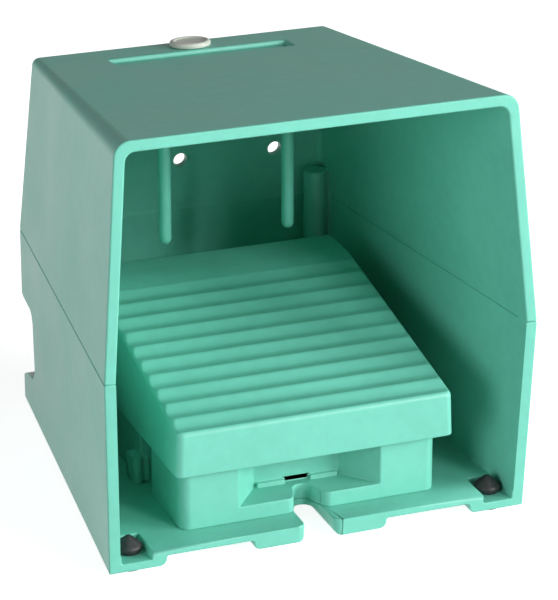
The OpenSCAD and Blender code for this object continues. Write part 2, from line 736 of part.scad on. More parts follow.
// Brass strips with silver tips, two for each contact
module fixed_contacts() color([0.8, 0.65, 0.3]) {
    for (s = [-1, 1]) translate([0, guide_y, 0]) {
        difference() {
            translate([strip_x - strip_w / 2, s * 15 - 7.5, closing_z]) cube([strip_w, 15, strip_t]);
            translate([strip_x, s * 18, 0]) cylinder(d = m3[0] + 2 * hole_gap, h = 100);
        }
        difference() {
            translate([-strip_x - strip_w / 2, s * 15 - 7.5, opening_z]) cube([strip_w, 15, strip_t]);
            translate([-strip_x, s * 18, 0]) cylinder(d = m3[0] + 2 * hole_gap, h = 100);
        }
    }
}

module terminal_screws() color(bright_steel) {
    for (s = [-1, 1]) {
        translate([strip_x, guide_y + s * 18, closing_z + strip_t]) screw_down(m3, 3);
        translate([-strip_x, guide_y + s * 18, opening_z + strip_t]) screw_down(m3, 5.5);
    }
}

// Round stem through the lid with a crossbar that carries both bridges
module plunger() color([0.85, 0.3, 0.15]) {
    translate([0, guide_y, 0]) {
        translate([0, 0, bar_z + bar_t - 1]) cylinder(d = plunger_d, h = plunger_top_z - bar_z - bar_t - 1);
        translate([0, 0, plunger_top_z]) rotate_extrude()
            polygon([[0, -2.4], [plunger_d / 2 + 1.5, -2.4], [plunger_d / 2 + 1.5, -1.4], [1.4, 0], [0, 0]]);
        translate([-12, -3, bar_z]) cube([24, 6, bar_t]);
    }
}

module contact_bridges() color([0.8, 0.5, 0.3]) {
    translate([0, guide_y, 0]) {
        translate([-strip_x - 2.5, -12, bar_z + bar_t]) cube([5, 24, strip_t]);
        translate([strip_x - 2.5, -12, bar_z - strip_t]) cube([5, 24, strip_t]);
    }
}

module plunger_spring() color(bright_steel) {
    translate([0, guide_y, plate_z]) coil(5.6, 0.6, bar_z - plate_z, 4, 16, 6);
}

// Folded rubber boot between the guide and the plunger's head
module plunger_boot() color([0.09, 0.09, 0.09]) {
    low = guide_top_z - 3;
    high = plunger_top_z - 2.4;
    h = high - low;
    translate([0, guide_y, low]) rotate_extrude()
        polygon([[5.9, 0], [8, 0], [8, 3.6], [6.4, h * 0.55], [7.2, h * 0.72], [5.2, h * 0.86], [5.2, h],
                 [3.2, h], [3.2, h - 0.9], [4.3, h * 0.84], [6, h * 0.71], [5.2, h * 0.55], [6.6, 3.2],
                 [6.6, 1.3], [5.9, 1.3]]);
}

// ---------------------------------------------------------------- pedal

// Body of the pedal drawn in from its outside, with or without a sloping tread
module pedal_form(inset, r, low_z) {
    off = inset + r;
    front = pedal_front_y + off;
    rear = pedal_rear_y - off;
    knee = knee_y - off * tread_slope / 2;
    top = pedal_top_z - off;
    hull() for (s = [-1, 1]) {
        for (p = [[front, tread_z(front) - off * tread_k], [knee, top], [rear, top]])
            translate([s * (pedal_x(p[1]) - off), p[0], p[1]]) sphere(r = r, $fn = 32);
        for (y = [front, rear])
            translate([s * (pedal_x(low_z) - off), y, low_z]) cylinder(r = r, h = tiny, $fn = 32);
    }
}

flute_chord = flute_pitch * tread_k;
flute_r = (pow(flute_chord / 2, 2) + pow(flute_t, 2)) / (2 * flute_t);

module pedal() color(moulding) {
    difference() {
        union() {
            difference() {
                pedal_form(0, pedal_edge_r, pedal_z);
                pedal_form(pedal_wall + flute_t * 0.4, 1, pedal_z - 1);
            }
            // Bosses inside the skirts at the hinge
            for (s = [-1, 1]) translate([s * (pedal_x(hinge_z) - 1), hinge_y, hinge_z]) rotate([0, -s * 90, 0])
                cylinder(d = pin_d + 5.5, h = pedal_x(hinge_z) - 1 - ear_x - ear_t / 2 - free_gap);
            // Pusher over the plunger, cup over the spring, ribs over the bumpers
            intersection() {
                pedal_form(pedal_wall, 1, pedal_z + 3);
                union() {
                    translate([0, guide_y, plunger_top_z + free_gap]) cylinder(d = 12, h = 30);
                    translate([0, spring_y, cup_z]) difference() {
                        cylinder(d = 21, h = 30);
                        translate([0, 0, -1]) cylinder(d = 17.4, h = 1 + cup_t);
                    }
                    for (s = [-1, 1]) translate([s * bumper_x, bumper_y, bumper_rib_z]) cylinder(d = 8, h = 30);
                    for (x = [-16, 16]) translate([x - 1, guide_y - 30, tread_z(guide_y - 30) - 12])
                        cube([2, 64, 60]);
                }
            }
        }
        // Flutes of the tread
        for (i = [0 : flutes - 1])
            translate([-pedal_w, pedal_front_y + (i + 0.5) * flute_pitch, tread_z(pedal_front_y + (i + 0.5) * flute_pitch)])
                rotate([atan(tread_slope), 0, 0]) translate([0, 0, flute_r - flute_t])
                    rotate([0, 90, 0]) cylinder(r = flute_r, h = 2 * pedal_w);
        translate([-case_w, hinge_y, hinge_z]) rotate([0, 90, 0])
            cylinder(d = pin_d + 2 * run_gap, h = 2 * case_w);
    }
}

cup_t = 2;
cup_z = tread_z(spring_y) - pedal_wall - flute_t - cup_t - 1.5;
// Height at which a rib meets its bumper when the pedal is all the way down
bumper_rib_z = hinge_z + (lid_top_z + bumper_h + free_gap - hinge_z
    + (hinge_y - bumper_y) * sin(pedal_travel)) / cos(pedal_travel);

module hinge_pin() color(bright_steel) {
    translate([-pin_l / 2, hinge_y, hinge_z]) rotate([0, 90, 0]) difference() {
        cylinder(d = pin_d, h = pin_l);
        for (z = [clip_at, pin_l - clip_at - clip_t]) translate([0, 0, z]) difference() {
            cylinder(d = pin_d + 1, h = clip_t);
            translate([0, 0, -1]) cylinder(d = pin_d - 1, h = clip_t + 2);
        }
    }
}

clip_t = 0.8;
pin_l = 2 * (pedal_x(hinge_z) + 2.4);
clip_at = 2.4 - free_gap - clip_t;

module pin_clips() color(dark_steel) {
    for (s = [-1, 1]) translate([s * (pin_l / 2 - clip_at - clip_t / 2), hinge_y, hinge_z]) rotate([0, 90, 0])
        difference() {
            cylinder(d = pin_d + 4, h = clip_t, center = true);
            cylinder(d = pin_d - 1, h = 2, center = true);
            translate([-(pin_d - 1) / 2 + 0.3, 0, -1]) cube([pin_d - 1.6, pin_d + 4, 2]);
        }
}

module return_spring() color(bright_steel) {
    translate([0, spring_y, lid_top_z]) coil(15.6, 1.8, cup_z + cup_t - lid_top_z, 4.5, 24, 8);
}

base_shell();
hood_shell();
hood_screws();
roof_plug();
rubber_feet();
switch_case();
case_screws();
lid_gasket();
case_lid();
lid_screws();
gland_body();
gland_seal();
gland_nut();
contact_housing();
housing_screws();
fixed_contacts();
terminal_screws();
plunger();
contact_bridges();
plunger_spring();
plunger_boot();
pedal();
hinge_pin();
pin_clips();
return_spring();
stop_bumpers();
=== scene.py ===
import bmesh
import bpy
import math
import numpy as np
from mathutils.bvhtree import BVHTree
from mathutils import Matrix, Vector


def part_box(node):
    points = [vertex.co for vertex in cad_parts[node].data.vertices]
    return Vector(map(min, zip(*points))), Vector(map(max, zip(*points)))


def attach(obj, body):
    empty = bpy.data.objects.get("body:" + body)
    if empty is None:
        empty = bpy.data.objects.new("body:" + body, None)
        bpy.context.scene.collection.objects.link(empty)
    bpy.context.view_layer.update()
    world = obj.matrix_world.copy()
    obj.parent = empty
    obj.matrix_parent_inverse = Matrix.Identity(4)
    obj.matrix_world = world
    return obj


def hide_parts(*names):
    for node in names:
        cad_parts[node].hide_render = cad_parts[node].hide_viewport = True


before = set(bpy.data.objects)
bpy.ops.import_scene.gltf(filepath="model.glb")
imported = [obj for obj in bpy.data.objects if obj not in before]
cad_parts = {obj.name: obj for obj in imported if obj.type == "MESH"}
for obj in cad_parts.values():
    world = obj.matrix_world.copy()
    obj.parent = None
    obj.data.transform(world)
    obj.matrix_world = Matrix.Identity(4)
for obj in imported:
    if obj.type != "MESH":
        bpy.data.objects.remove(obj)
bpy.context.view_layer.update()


def nodes_of(material):
    """Node tree of a material with its Principled shader, and a function that adds a linked node."""
    material.use_nodes = True
    tree = material.node_tree
    shader = next(n for n in tree.nodes if n.type == "BSDF_PRINCIPLED")

    def add(kind, inputs=(), **settings):
        node = tree.nodes.new(kind)
        for key, value in settings.items():
            setattr(node, key, value)
        for key, value in dict(inputs).items():
            if isinstance(value, bpy.types.NodeSocket):
                tree.links.new(value, node.inputs[key])
            else:
                node.inputs[key].default_value = value
        return node

    return tree, shader, add


def moulded_plastic(name, colour, rough, mottle=0.05, grain=2600.0, grain_depth=0.00002, shine=0.5):
    """Moulded plastic: flow mottling two sizes across, a fine spark-eroded grain as bump, and a gloss
    that wanders a little with the flow."""
    material = bpy.data.materials.new(name)
    tree, shader, add = nodes_of(material)
    place = add("ShaderNodeTexCoord").outputs["Object"]
    flow = add("ShaderNodeTexNoise", {"Vector": place, "Scale": 28.0, "Detail": 4.0, "Roughness": 0.55})
    cloud = add("ShaderNodeTexNoise", {"Vector": place, "Scale": 190.0, "Detail": 3.0, "Roughness": 0.6})
    both = add("ShaderNodeMath", {0: flow.outputs["Fac"], 1: cloud.outputs["Fac"]}, operation="ADD")
    shade = add("ShaderNodeMapRange", {"Value": both.outputs[0], "From Min": 0.7, "From Max": 1.3})
    tint = add("ShaderNodeMix", {0: shade.outputs["Result"]}, data_type="RGBA")
    tint.inputs[6].default_value = [c * (1 - mottle) for c in colour] + [1]
    tint.inputs[7].default_value = [min(1, c * (1 + mottle)) for c in colour] + [1]
    tree.links.new(tint.outputs[2], shader.inputs["Base Color"])
    gloss = add("ShaderNodeMapRange", {"Value": flow.outputs["Fac"], "From Min": 0.3, "From Max": 0.7,
                                       "To Min": rough - 0.03, "To Max": rough + 0.05})
    tree.links.new(gloss.outputs["Result"], shader.inputs["Roughness"])
    pit = add("ShaderNodeTexNoise", {"Vector": place, "Scale": grain, "Detail": 2.0})
    bump = add("ShaderNodeBump", {"Height": pit.outputs["Fac"], "Strength": 0.35, "Distance": grain_depth})
    tree.links.new(bump.outputs["Normal"], shader.inputs["Normal"])
    shader.inputs["Specular IOR Level"].default_value = shine
    return material


moulding_green = moulded_plastic("moulding_green", (0.155, 0.54, 0.425), 0.34, shine=0.35)


def eased_copy(node, radius, body, material, hidden=None, angle=28, merge=5e-5):
    """Copy of a CAD node with its triangles merged into flat faces and each sharp edge rolled over to a
    radius. An edge in the hidden part of a joint stays sharp, and so does one whose roll would leave the
    wall by over half the radius."""
    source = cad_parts[node]
    bm = bmesh.new()
    bm.from_mesh(source.data)
    bmesh.ops.remove_doubles(bm, verts=bm.verts, dist=2e-6)
    skin = BVHTree.FromBMesh(bm)
    bmesh.ops.dissolve_limit(bm, angle_limit=math.radians(0.4), verts=bm.verts, edges=bm.edges)
    bmesh.ops.dissolve_degenerate(bm, dist=merge, edges=bm.edges)
    bmesh.ops.remove_doubles(bm, verts=bm.verts, dist=merge)
    bmesh.ops.dissolve_limit(bm, angle_limit=math.radians(1), verts=bm.verts, edges=bm.edges)
    weight = bm.edges.layers.float.new("bevel_weight_edge")
    for edge in bm.edges:
        edge.smooth = len(edge.link_faces) == 2
        if edge.smooth and edge.calc_face_angle(0) > math.radians(angle):
            inside = hidden is not None and hidden((edge.verts[0].co + edge.verts[1].co) / 2)
            edge[weight] = 0.0 if inside else 1.0
            edge.smooth = not inside
    mesh = bpy.data.meshes.new(node + "_eased")
    piece = bpy.data.objects.new(node + "_eased", mesh)
    bpy.context.scene.collection.objects.link(piece)
    roll = piece.modifiers.new("rolled_edges", "BEVEL")
    roll.width, roll.segments, roll.limit_method = radius, 2, "WEIGHT"
    roll.use_clamp_overlap, roll.miter_outer = False, "MITER_ARC"
    for _ in range(12):
        bm.to_mesh(mesh)
        mesh.update()
        graph = bpy.context.evaluated_depsgraph_get()
        rolled = piece.evaluated_get(graph).to_mesh()
        at = np.empty(len(rolled.vertices) * 3)
        rolled.vertices.foreach_get("co", at)
        off = np.array([p for p in at.reshape(-1, 3) if skin.find_nearest(p)[3] > 0.55 * radius])
        live = [e for e in bm.edges if e[weight] > 0]
        if not len(off) or not live:
            break
        start = np.array([e.verts[0].co for e in live])
        along = np.array([e.verts[1].co for e in live]) - start
        square = np.maximum((along ** 2).sum(1), 1e-18)
        share = np.clip(((off[:, None] - start) * along).sum(2) / square, 0, 1)
        gap = np.linalg.norm(start + along * share[..., None] - off[:, None], axis=2)
        for i in set(gap.argmin(1).tolist()):
            live[i][weight] = 0.0
            live[i].smooth = False
    bm.free()
    mesh.polygons.foreach_set("use_smooth", np.ones(len(mesh.polygons), bool))
    even = piece.modifiers.new("even_normals", "WEIGHTED_NORMAL")
    even.keep_sharp = True
    mesh.materials.append(material)
    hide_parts(node)
    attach(piece, body)
    return piece


seam_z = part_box("hood_shell")[0].z


def in_seam(p):
    """Whether a point lies in the tongue and rebate of the seam, inside the outer 1.2 mm of the wall."""
    return (abs(p.z - seam_z) < 0.0026 and abs(p.x) < 0.0798 - 0.108 * (p.y + 0.083)
            and -0.0815 < p.y < 0.0744)


eased_copy("base_shell", 0.0006, "housing", moulding_green, hidden=in_seam)


# ---------------------------------------------------------------- Rubber feet
# Four black rubber feet pushed up through the floor plate. A cone head snaps through the hole and
# holds each foot; its flat disc stands on the ground.
def rubber(name, colour=(0.017, 0.017, 0.018), rough=0.5):
    """Moulded rubber: a soft bloom in patches over black, and a fine flow grain as bump."""
    material = bpy.data.materials.new(name)
    tree, shader, add = nodes_of(material)
    place = add("ShaderNodeTexCoord").outputs["Object"]
    bloom = add("ShaderNodeTexNoise", {"Vector": place, "Scale": 420.0, "Detail": 5.0, "Roughness": 0.6})
    ramp = add("ShaderNodeValToRGB", {"Fac": bloom.outputs["Fac"]})
    ramp.color_ramp.elements[0].position, ramp.color_ramp.elements[1].position = 0.35, 0.8
    ramp.color_ramp.elements[0].color = (*colour, 1)
    ramp.color_ramp.elements[1].color = (*[c * 1.9 + 0.004 for c in colour], 1)
    tree.links.new(ramp.outputs["Color"], shader.inputs["Base Color"])
    gloss = add("ShaderNodeMapRange", {"Value": bloom.outputs["Fac"], "To Min": rough - 0.12,
                                       "To Max": rough + 0.14})
    tree.links.new(gloss.outputs["Result"], shader.inputs["Roughness"])
    grain = add("ShaderNodeTexNoise", {"Vector": place, "Scale": 3500.0, "Detail": 2.0})
    bump = add("ShaderNodeBump", {"Height": grain.outputs["Fac"], "Strength": 0.4, "Distance": 0.00003})
    tree.links.new(bump.outputs["Normal"], shader.inputs["Normal"])
    return material


def eased(corners, radius, steps=4):
    """Outline with every inner corner replaced by a parabola that begins and ends a radius away from it,
    or at 0.45 of a shorter side."""
    p = np.asarray(corners, float)
    back, ahead = p[:-2] - p[1:-1], p[2:] - p[1:-1]
    nb = np.linalg.norm(back, axis=1, keepdims=True)
    na = np.linalg.norm(ahead, axis=1, keepdims=True)
    a = p[1:-1] + back / nb * np.minimum(radius, 0.45 * nb)
    b = p[1:-1] + ahead / na * np.minimum(radius, 0.45 * na)
    s = np.linspace(0, 1, steps + 1)[None, :, None]
    arcs = (1 - s) ** 2 * a[:, None] + 2 * s * (1 - s) * p[1:-1, None] + s ** 2 * b[:, None]
    return np.vstack([p[:1], arcs.reshape(-1, p.shape[1]), p[-1:]])


def skin_of(name, grids, material, flat=(), sharp=50):
    """Mesh of one or more point grids: each cell is a four-sided face, the last column joins the first but
    on the flat grids, and points that fall together at poles and seams are merged. Normals face outwards."""
    verts, faces, base = [], [], 0
    for g in [*grids, *flat]:
        rows, cols = g.shape[:2]
        i = np.arange(rows * cols).reshape(rows, cols)
        if not any(g is f for f in flat):
            i = np.hstack([i, i[:, :1]])
        cell = np.stack([i[:-1, :-1], i[:-1, 1:], i[1:, 1:], i[1:, :-1]], -1).reshape(-1, 4)
        verts.append(g.reshape(-1, 3))
        faces.append(cell + base)
        base += rows * cols
    mesh = bpy.data.meshes.new(name)
    mesh.from_pydata(np.vstack(verts).tolist(), [], np.vstack(faces).tolist())
    bm = bmesh.new()
    bm.from_mesh(mesh)
    bmesh.ops.remove_doubles(bm, verts=bm.verts, dist=1e-7)
    bmesh.ops.dissolve_degenerate(bm, dist=1e-7, edges=bm.edges)
    bmesh.ops.recalc_face_normals(bm, faces=bm.faces)
    bm.to_mesh(mesh)
    bm.free()
    mesh.polygons.foreach_set("use_smooth", np.ones(len(mesh.polygons), bool))
    mesh.set_sharp_from_angle(angle=math.radians(sharp))
    mesh.materials.append(material)
    piece = bpy.data.objects.new(name, mesh)
    bpy.context.scene.collection.objects.link(piece)
    return piece


def turned(profile, centre, axis=(0, 0, 1), steps=64, shape=None):
    """Grid of a turned shape: the point at angle a on a profile row (r, h) is
    centre + r·(cos a·u + sin a·v) + h·axis, with u and v across the axis. shape(r, h, a) gives another r."""
    p = np.asarray(profile, float)
    w = np.asarray(axis, float) / np.linalg.norm(axis)
    side = np.array([1.0, 0, 0]) if abs(w[0]) < 0.9 else np.array([0, 1.0, 0])
    u = np.cross(side, w)
    u /= np.linalg.norm(u)
    v = np.cross(w, u)
    a = np.linspace(0, 2 * np.pi, steps, endpoint=False)
    r = p[:, :1] + 0 * a if shape is None else shape(p[:, :1], p[:, 1:2], a)
    ring = np.cos(a)[:, None] * u + np.sin(a)[:, None] * v
    return np.asarray(centre, float) + r[..., None] * ring + p[:, 1:2, None] * w


foot_rubber = rubber("foot_rubber")
foot_xy = [(s * x, y) for x, y in ((0.0691672, -0.0695256), (0.05399, 0.071)) for s in (-1, 1)]
foot_profile = eased([(0, 0.0002), (0.0034, 0.0002), (0.0038, 0.0), (0.0051, 0.0), (0.00575, 0.0008),
                      (0.00575, 0.0024), (0.0034, 0.00235), (0.0034, 0.0057), (0.0042, 0.0057),
                      (0.0048, 0.0065), (0.005, 0.0079), (0.0046, 0.0086), (0.0011, 0.0117),
                      (0.0, 0.0122)], 0.00035)
feet = skin_of("push_in_feet", [turned(foot_profile, (x, y, 0), steps=56) for x, y in foot_xy],
               foot_rubber, sharp=60)
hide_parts("rubber_feet")
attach(feet, "housing")

# ---------------------------------------------------------------- Switch case
# Closed case of the same green plastic for the contacts. Its front block carries the pocket over the
# floor screw, and two ears at the rear carry the pin of the pedal. Four screws hold it from below.
eased_copy("switch_case", 0.0005, "housing", moulding_green)


def metal(name, colour, rough, streak=(1, 1, 1), scale=900.0, wear=0.25):
    """Metal: fine streaks along one axis in gloss, small bright and dull patches in colour, and a bump
    of the same streaks."""
    material = bpy.data.materials.new(name)
    tree, shader, add = nodes_of(material)
    place = add("ShaderNodeTexCoord").outputs["Object"]
    turn = add("ShaderNodeMapping", {"Vector": place, "Scale": streak})
    lines = add("ShaderNodeTexNoise", {"Vector": turn.outputs[0], "Scale": scale, "Detail": 3.0})
    patch = add("ShaderNodeTexNoise", {"Vector": place, "Scale": 260.0, "Detail": 4.0, "Roughness": 0.6})
    tint = add("ShaderNodeMix", {0: patch.outputs["Fac"]}, data_type="RGBA")
    tint.inputs[6].default_value = [c * (1 - wear) for c in colour] + [1]
    tint.inputs[7].default_value = [min(1, c * (1 + wear)) for c in colour] + [1]
    tree.links.new(tint.outputs[2], shader.inputs["Base Color"])
    gloss = add("ShaderNodeMapRange", {"Value": lines.outputs["Fac"], "To Min": rough - 0.1,
                                       "To Max": rough + 0.14})
    tree.links.new(gloss.outputs["Result"], shader.inputs["Roughness"])
    bump = add("ShaderNodeBump", {"Height": lines.outputs["Fac"], "Strength": 0.3, "Distance": 0.00001})
    tree.links.new(bump.outputs["Normal"], shader.inputs["Normal"])
    shader.inputs["Metallic"].default_value = 1.0
    return material


black_zinc = metal("black_zinc", (0.11, 0.11, 0.12), 0.38)
eased_copy("case_screws", 0.00015, "housing", black_zinc)


def finish_node(node, material):
    """Gives a CAD node that stays in view its procedural material."""
    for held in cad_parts[node].material_slots:
        held.link = "OBJECT"
        held.material = material


# ---------------------------------------------------------------- Contact block
# Black moulded block with brass contacts and terminal screws, screwed to the floor of the case. Two
# brass bridges on the plunger make and break the circuit. All of it is closed in by the lid.
block_black = moulded_plastic("block_black", (0.022, 0.022, 0.024), 0.42, mottle=0.12, grain=3200.0)
contact_brass = metal("contact_brass", (0.72, 0.5, 0.2), 0.3, streak=(1, 8, 1))
terminal_steel = metal("terminal_steel", (0.62, 0.62, 0.6), 0.3)
finish_node("contact_housing", block_black)
finish_node("housing_screws", black_zinc)
finish_node("fixed_contacts", contact_brass)
finish_node("contact_bridges", contact_brass)
finish_node("terminal_screws", terminal_steel)

# ---------------------------------------------------------------- Plunger, spring and boot
# The red plunger slides in the lid's sleeve and carries the bridges. A coil spring lifts it, and a
# folded rubber boot, snapped over the sleeve, keeps water out.
plunger_red = moulded_plastic("plunger_red", (0.62, 0.075, 0.035), 0.36, mottle=0.08)
finish_node("plunger", plunger_red)
spring_steel = metal("spring_steel", (0.6, 0.6, 0.58), 0.26, streak=(1, 1, 6), scale=1400.0)


def coil_spring(name, node, wire, turns, steps=40, sides=14):
    """Compression spring swept along a helix: the wire's middle is at radius R and angle 2·pi·turns·t, and
    its height eases in and out over the first and last three quarters of a turn, so the ends lie flat."""
    low, high = (np.array(c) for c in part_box(node))
    mid, big = (low + high) / 2, (high[0] - low[0]) / 2 - wire / 2
    t = np.linspace(0, 1, int(turns * steps) + 1)
    dead = 0.75 / turns
    grow = np.clip((t - dead / 2) / (1 - dead), 0, 1)
    climb = grow + 0.02 * np.sin(2 * np.pi * grow)
    z = low[2] + wire / 2 + (high[2] - low[2] - wire) * climb
    a = 2 * np.pi * turns * t
    b = np.linspace(0, 2 * np.pi, sides, endpoint=False)
    r = big + wire / 2 * np.cos(b)
    ring = np.stack([mid[0] + r * np.cos(a)[:, None], mid[1] + r * np.sin(a)[:, None],
                     z[:, None] + wire / 2 * np.sin(b)], -1)
    caps = [np.repeat(end.mean(0)[None, None], sides, 1) for end in (ring[0], ring[-1])]
    return skin_of(name, [np.concatenate([caps[0], ring, caps[1]])], spring_steel, sharp=60)


lift_spring = coil_spring("plunger_lift_spring", "plunger_spring", 0.0007, 5)
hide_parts("plunger_spring")
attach(lift_spring, "housing")

boot_low, boot_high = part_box("plunger_boot")
boot_h = boot_high.z - boot_low.z
boot_outline = eased([(0.0059, 0), (0.008, 0), (0.008, 0.0036), (0.0064, boot_h * 0.55), (0.0072, boot_h * 0.72),
                      (0.0052, boot_h * 0.86), (0.0052, boot_h), (0.0032, boot_h), (0.0032, boot_h - 0.0009),
                      (0.0043, boot_h * 0.84), (0.006, boot_h * 0.71), (0.0052, boot_h * 0.55),
                      (0.0066, 0.0032), (0.0066, 0.0013), (0.0059, 0.0013), (0.0059, 0)], 0.0005)
boot = skin_of("folded_boot", [turned(boot_outline, (0, (boot_low.y + boot_high.y) / 2, boot_low.z))],
               foot_rubber, sharp=60)
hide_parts("plunger_boot")
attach(boot, "housing")

# ---------------------------------------------------------------- Cable gland
# Black nylon gland in the rear of the case: a hexagon body, a split rubber seal and a domed hexagon nut
# that squeezes the seal on the cable. The nut's dome has fine grip ribs.
gland_low, gland_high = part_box("gland_body")
gland_at = (0, gland_high.y - 0.013, (gland_low.z + gland_high.z) / 2)
gland_flat = (gland_high.z - gland_low.z) / 2


def hexagon(r, h, a):
    """Radius of a hexagon of the gland at angle a, cut back by a cone at both ends: the smaller of
    flat / cos(angle from the middle of a flat) and r."""
    from_flat = (a + np.pi / 6) % (np.pi / 3) - np.pi / 6
    return np.minimum(gland_flat / np.cos(from_flat), r)


def ribbed(r, h, a):
    """Radius of the nut: a hexagon up to 11.8 mm out, then the dome with 36 ribs 0.16 mm high that fade
    out towards its end."""
    fade = np.clip((h - 0.0118) / 0.001, 0, 1) * np.clip((0.0158 - h) / 0.002, 0, 1)
    return np.where(h < 0.01175, hexagon(r, h, a), r - 0.00016 * fade * (0.5 + 0.5 * np.cos(36 * a)))


corner = gland_flat / math.cos(math.pi / 6)
body_rows = [(0.0055, -0.006), (0.008, -0.006), (0.008, 0), (gland_flat, 0), (corner, 0.0009), (corner, 0.0031),
             (gland_flat, 0.004), (0.008, 0.004), (0.008, 0.013), (0.0055, 0.013), (0.0055, -0.006)]
nut_rows = [(0.0082, 0.0046), (gland_flat, 0.0046), (corner, 0.0055), (corner, 0.0108), (gland_flat, 0.0116),
            (0.0098, 0.0118), (0.0098, 0.0142), (0.0093, 0.0152), (0.0083, 0.0162), (0.0074, 0.0166),
            (0.005, 0.0166), (0.005, 0.0146), (0.0082, 0.0142), (0.0082, 0.0046)]
gland_nylon = moulded_plastic("gland_nylon", (0.03, 0.03, 0.032), 0.4, mottle=0.1, grain=3000.0)
body = skin_of("gland_hexagon_body", [turned(eased(body_rows, 0.0002, 2), gland_at, (0, 1, 0), 144, hexagon)],
               gland_nylon, sharp=30)
nut = skin_of("gland_dome_nut", [turned(eased(nut_rows, 0.0003, 3), gland_at, (0, 1, 0), 288, ribbed)],
              gland_nylon, sharp=30)
seal = skin_of("gland_rubber_seal", [turned(eased([(0.004, 0.004), (0.0053, 0.004), (0.0053, 0.0129),
               (0.0062, 0.0131), (0.0062, 0.0138), (0.0058, 0.014), (0.0044, 0.014), (0.004, 0.0134),
               (0.004, 0.004)], 0.0002, 3), gland_at, (0, 1, 0))], foot_rubber, sharp=60)
for piece, node, slot in ((body, "gland_body", "black_plastic"), (nut, "gland_nut", "black_plastic"),
                          (seal, "gland_seal", "rubber")):
    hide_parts(node)
    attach(piece, "housing")

# ---------------------------------------------------------------- Lid, gasket and bumpers
# The case's lid, of the same green plastic, is screwed down on a foam cord with four screws. Two domed
# rubber bumpers pressed into it stop the pedal.
finish_node("lid_gasket", foot_rubber)
eased_copy("case_lid", 0.0004, "housing", moulding_green)
eased_copy("lid_screws", 0.00015, "housing", black_zinc)
bump_low, bump_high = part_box("stop_bumpers")
lid_top = bump_low.z + 0.0024
bump_h = bump_high.z - lid_top
bump_rows = eased([(0, -0.0024), (0.002, -0.0024), (0.002, 0.00001), (0.0043, 0), (0.00449, 0.0005),
                   (0.0043, bump_h - 0.0017), (0.0032, bump_h - 0.0004), (0, bump_h)], 0.0006)
bumpers = skin_of("rubber_bumpers", [turned(bump_rows, (s * (bump_high.x - 0.0045),
                  (bump_low.y + bump_high.y) / 2, lid_top)) for s in (-1, 1)], foot_rubber, sharp=60)
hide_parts("stop_bumpers")
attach(bumpers, "housing")

# ---------------------------------------------------------------- Pedal
# Hollow one-piece pedal with a fluted tread, moulded in the same green plastic. It swings on the pin;
# a cup under its front takes the return spring, and a pusher above the plunger works the contacts.
pedal_low, pedal_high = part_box("pedal")
draft, edge_r, flute_pitch, flute_depth, flutes, rise = 0.045, 0.0026, 0.00895, 0.0012, 10, 0.2166
front_top, knee_y = pedal_low.z + 0.0172, pedal_low.y + 0.0975


def tread_line(y):
    """Height of the crests at a depth y: the sloping line of the tread up to the knee, then level, with
    the smaller of the two taken softly."""
    slope = front_top + rise * (y - pedal_low.y)
    top = front_top + rise * (knee_y - pedal_low.y) + 0 * y
    return (slope + top - np.sqrt((slope - top) ** 2 + 0.0012 ** 2)) / 2


def flute_drop(y):
    """Depth of a flute under the crest line: an arc of radius R across each pitch, with v, the distance
    from the nearest crest, softened so that the crest is round."""
    k = math.sqrt(1 + rise ** 2)
    chord = flute_pitch * k
    big = ((chord / 2) ** 2 + flute_depth ** 2) / (2 * flute_depth)
    v = flute_pitch / 2 - np.abs((y - pedal_low.y) % flute_pitch - flute_pitch / 2)
    v = np.where(y > pedal_low.y + flutes * flute_pitch, 0, v)
    u = chord / 2 - (np.sqrt(v ** 2 + 0.0005 ** 2) - 0.0005) * k
    return np.maximum(flute_depth - (big - np.sqrt(big ** 2 - u ** 2)), 0)


def half_width(z):
    """Half width of the pedal at a height, less by the draft going up."""
    return pedal_high.x - draft * (z - pedal_low.z)


roll = edge_r * (1 - np.cos(np.linspace(0, np.pi / 2, 10)))
flute_ys = np.arange(edge_r, flutes * flute_pitch, flute_pitch / 20)
length = pedal_high.y - pedal_low.y
ys = pedal_low.y + np.concatenate([roll[:-1], flute_ys, np.linspace(flutes * flute_pitch, 0.101, 12),
                                   np.linspace(0.101, length - edge_r, 4)[1:], (length - roll[:-1])[::-1]])
reach = half_width(tread_line(ys) - edge_r)
y_in = np.minimum(ys - pedal_low.y, pedal_high.y - ys)
row_half = reach - edge_r + np.sqrt(np.maximum(edge_r ** 2 - np.maximum(edge_r - y_in, 0) ** 2, 0))
share = np.linspace(-1, 1, 15)[None, 1:-1]
xs = np.concatenate([-row_half[:, None] + roll, (row_half[:, None] - edge_r) * share,
                     (row_half[:, None] - roll)[:, ::-1]], 1)
yy = ys[:, None] + 0 * xs
qx = np.abs(xs) - (reach[:, None] - edge_r)
qy = edge_r - y_in[:, None] + 0 * xs
inside = edge_r - np.hypot(np.maximum(qx, 0), np.maximum(qy, 0)) - np.minimum(np.maximum(qx, qy), 0)
edge_drop = edge_r - np.sqrt(np.maximum(edge_r ** 2 - np.maximum(edge_r - np.maximum(inside, 0), 0) ** 2, 0))
flute = flute_drop(yy)
drop = (edge_drop + flute + np.sqrt((edge_drop - flute) ** 2 + 0.0003 ** 2) - 0.0003) / 2
tread = np.stack([xs, yy, tread_line(yy) - drop], -1)


def rim_of(grid):
    """The four sides of a grid as one closed row of points."""
    return np.concatenate([grid[0, :-1], grid[:-1, -1], grid[-1, :0:-1], grid[:0:-1, 0]])


outline = rim_of(tread)
away = np.stack([np.maximum(np.abs(outline[:, 0]) - (rim_of(reach[:, None, None] + 0 * tread)[:, 0] - edge_r), 0)
                 * np.sign(outline[:, 0]),
                 np.maximum(np.abs(outline[:, 1] - (pedal_low.y + pedal_high.y) / 2) - (length / 2 - edge_r), 0)
                 * np.sign(outline[:, 1] - (pedal_low.y + pedal_high.y) / 2)], -1)
away /= np.maximum(np.linalg.norm(away, axis=1, keepdims=True), 1e-9)


